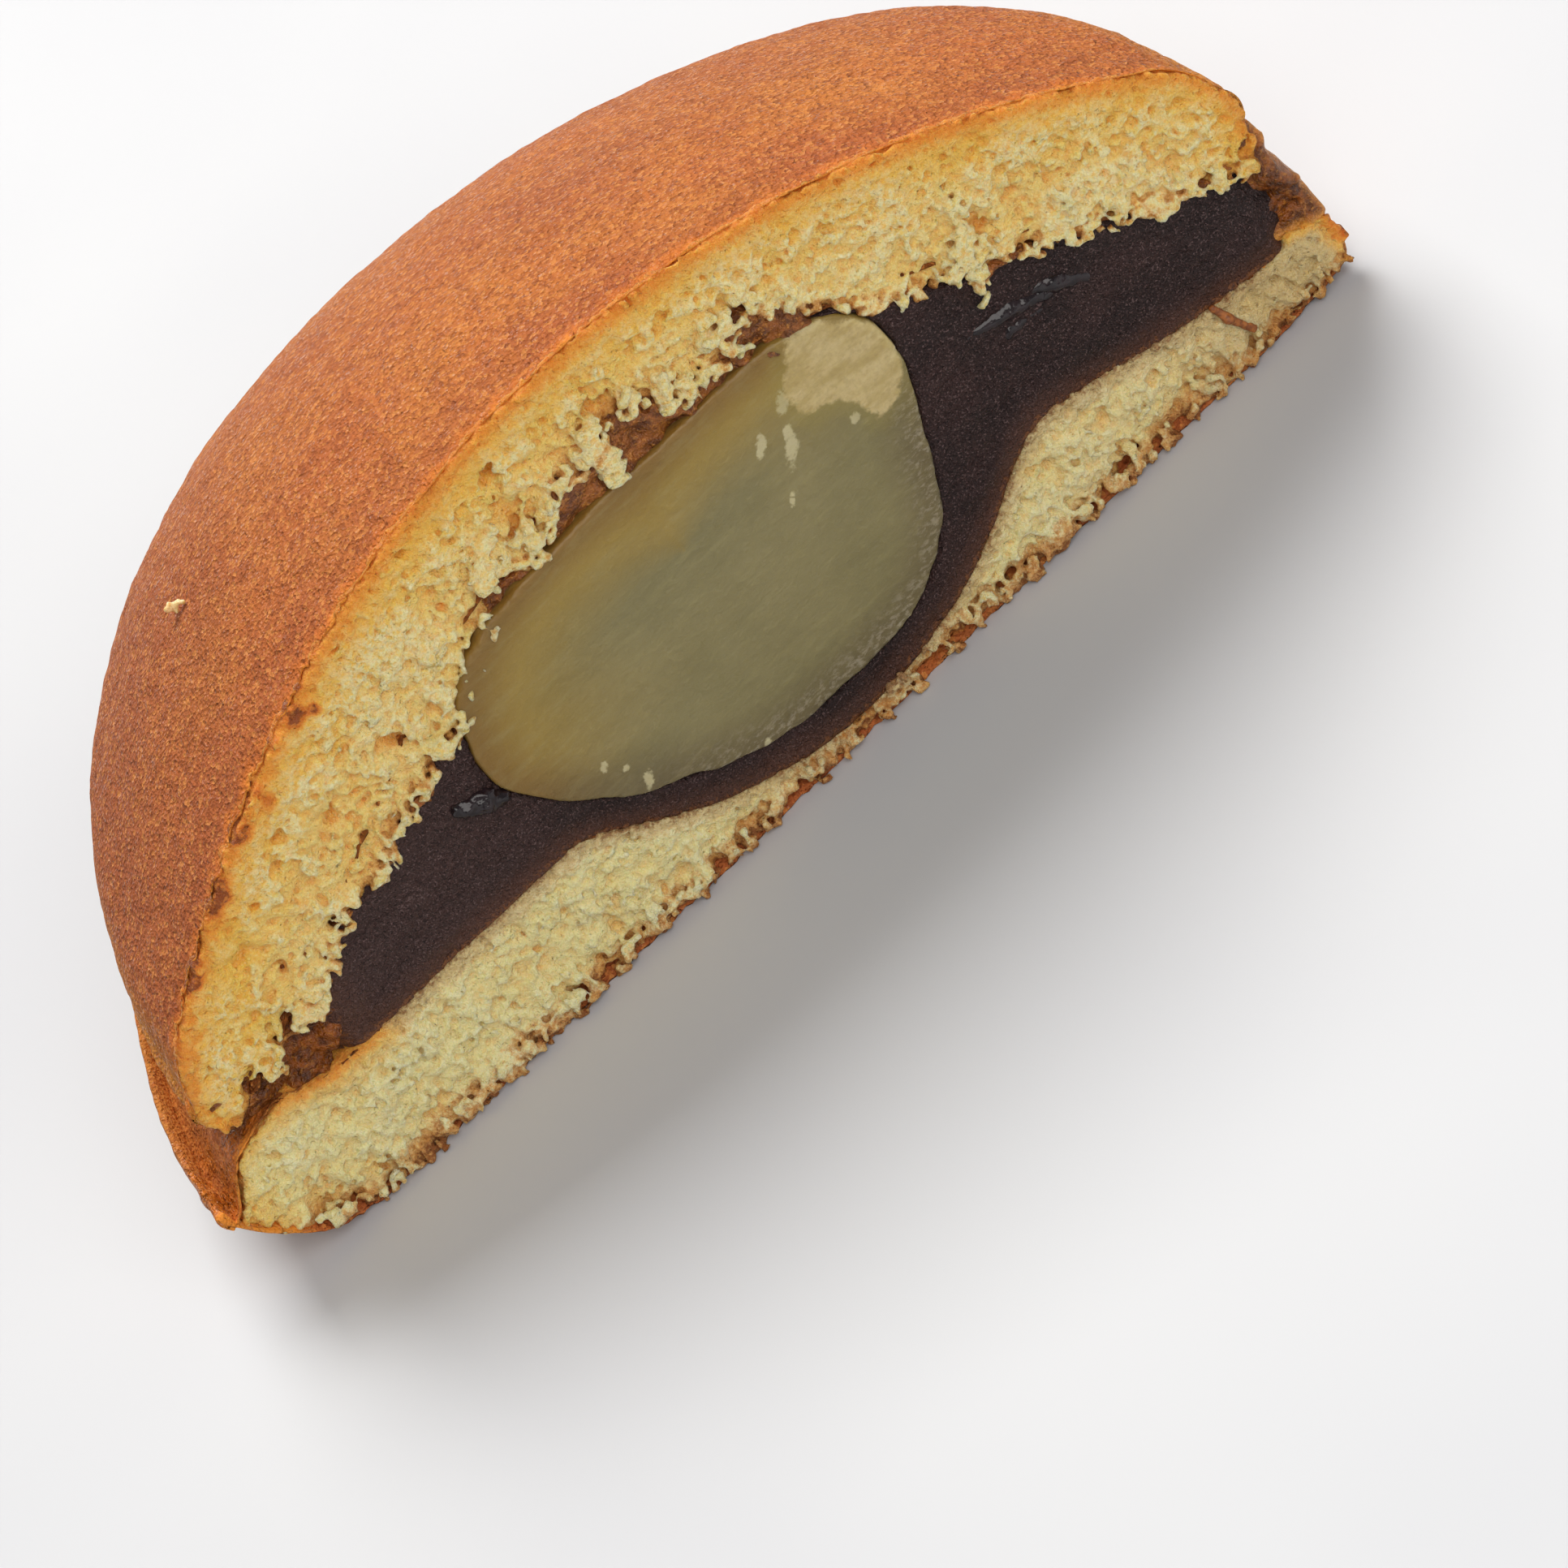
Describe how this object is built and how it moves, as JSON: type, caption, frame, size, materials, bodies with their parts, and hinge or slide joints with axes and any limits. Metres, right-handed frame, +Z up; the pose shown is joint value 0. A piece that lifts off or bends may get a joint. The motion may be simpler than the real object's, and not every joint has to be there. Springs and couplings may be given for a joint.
{
  "type": "halved dorayaki",
  "caption": "Half of a domed pancake sandwich, cut across its middle, with dark bean paste and a whole candied chestnut showing at the cut.",
  "frame": {"origin": "middle of the base of the part's bounding box, on the surface that it lies on", "axes": "+X along the cut from its thick, turned-up end to its thin, notched end; +Y from the cut face to the round back; +Z up"},
  "size_m": [0.0884, 0.0464, 0.0364],
  "materials": {
    "top_cake": "browned crust outside with a satin, finely pitted skin; pale yellow open crumb at the cut",
    "bottom_cake": "browned underside and rim, glazed where paste has touched it; pale yellow open crumb at the cut",
    "bean_paste": "smooth dark purple-brown paste, moist and satin",
    "chestnut": "translucent olive-yellow syrup-soaked flesh with an opaque cream patch, moist cut face"
  },
  "bodies": {
    "root": {"cake_top": "top_cake", "cake_bottom": "bottom_cake", "bean_paste": "bean_paste", "chestnut": "chestnut"}
  },
  "joints": []
}
